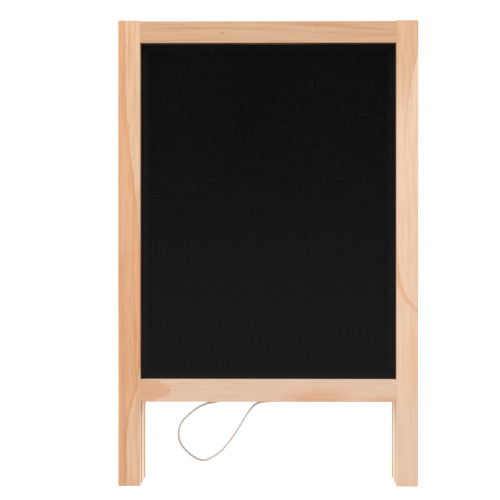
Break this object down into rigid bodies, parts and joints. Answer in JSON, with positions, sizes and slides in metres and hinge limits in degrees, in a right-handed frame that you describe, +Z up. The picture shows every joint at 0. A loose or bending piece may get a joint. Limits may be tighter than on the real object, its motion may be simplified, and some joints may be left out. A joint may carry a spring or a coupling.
{
  "type": "kids easel",
  "caption": "Folding double-sided tabletop easel for children, chalkboard on one side and whiteboard on the other, hinged at the top with a limit cord.",
  "frame": {"origin": "centre of the folded easel's footprint, on the surface that it stands on", "axes": "+Z up along the stiles, +X to the right seen from the chalkboard side, -Y out of the chalkboard and +Y out of the whiteboard"},
  "size_m": [0.3492, 0.0304, 0.5452],
  "materials": {
    "pine": "planed, bare or thinly sealed",
    "hardboard": "smooth, matt",
    "chalkboard": "matt chalkboard paint",
    "whiteboard": "gloss dry-wipe coating",
    "hinges": "zinc plated",
    "screws": "zinc plated",
    "staples": "galvanised wire",
    "cord": "twisted cotton"
  },
  "bodies": {
    "front_frame": {"front_left_stile": "pine", "front_right_stile": "pine", "front_top_rail": "pine", "front_bottom_rail": "pine", "front_board": "hardboard", "chalkboard_surface": "chalkboard", "front_rail_screws": "screws", "front_hinge_screws": "screws", "front_cord_staple": "staples", "left_hinge_front_leaf": "hinges", "right_hinge_front_leaf": "hinges", "left_hinge_pin": "hinges", "right_hinge_pin": "hinges", "limit_cord": "cord"},
    "rear_frame": {"rear_left_stile": "pine", "rear_right_stile": "pine", "rear_top_rail": "pine", "rear_bottom_rail": "pine", "rear_board": "hardboard", "whiteboard_surface": "whiteboard", "rear_rail_screws": "screws", "rear_hinge_screws": "screws", "rear_cord_staple": "staples", "left_hinge_rear_leaf": "hinges", "right_hinge_rear_leaf": "hinges"}
  },
  "joints": [
    {"name": "fold", "type": "hinge", "parent": "front_frame", "child": "rear_frame", "pos_m": [0, 0, 0.5433], "axis": [1, 0, 0], "range_deg": [0, 35], "deforming": ["limit_cord"]}
  ]
}
